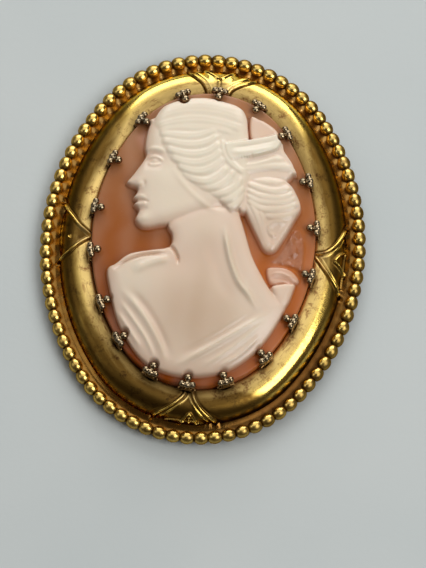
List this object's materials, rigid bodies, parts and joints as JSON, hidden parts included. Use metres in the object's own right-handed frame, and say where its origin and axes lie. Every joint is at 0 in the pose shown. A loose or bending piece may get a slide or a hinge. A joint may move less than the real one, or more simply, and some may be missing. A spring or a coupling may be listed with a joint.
{
  "type": "cameo pendant",
  "caption": "Oval shell cameo with a raised classical bust, held by trefoil claws in a domed gilt band edged with a beaded wire, with a hidden tube bail for a chain.",
  "frame": {"origin": "centre of the back rim, on the surface that the pendant lies on", "axes": "+Z out of the face, +Y towards the top of the pendant, +X to the wearer's left as seen by the viewer's right"},
  "size_m": [0.0352, 0.0444, 0.0065],
  "materials": {
    "gilt_band": "polished gilt, lightly worn",
    "claw_metal": "worn brown-grey base metal",
    "carved_shell": "polished two-coloured shell, white over peach",
    "gilt_bail": "satin gilt"
  },
  "bodies": {
    "root": {"frame": "gilt_band", "claw_setting": "claw_metal", "cameo": "carved_shell", "bail": "gilt_bail"}
  },
  "joints": []
}
